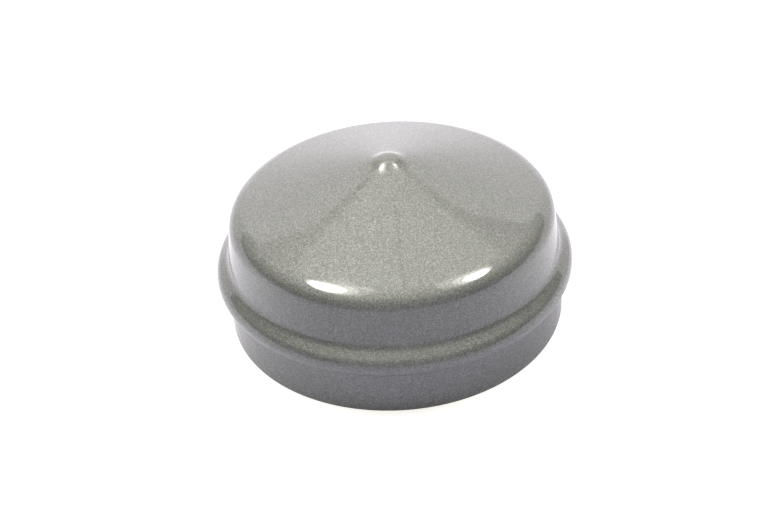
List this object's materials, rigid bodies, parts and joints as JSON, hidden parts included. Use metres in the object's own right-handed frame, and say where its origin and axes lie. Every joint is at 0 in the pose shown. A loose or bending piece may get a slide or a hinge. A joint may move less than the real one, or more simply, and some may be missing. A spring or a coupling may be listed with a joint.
{
  "type": "wheel cap",
  "caption": "Round pressed-metal cap for a wheel hub: plain press-fit skirt, stop bead with a sloping top, slightly tapered side, two-stage shoulder and a shallow conical crown that flares into a low nipple.",
  "frame": {"origin": "centre of the circle that the trimmed edge stands on, at the bottom of the cap", "axes": "+Z along the cap's axis, from the open end towards the nipple; X and Y lie in the plane of the trimmed edge and are free, because the cap is round"},
  "size_m": [0.0634, 0.0634, 0.0312],
  "materials": {
    "metallic_paint": "grey metallic paint under a gloss clear coat"
  },
  "bodies": {
    "root": {"wheel_cap": "metallic_paint"}
  },
  "joints": []
}
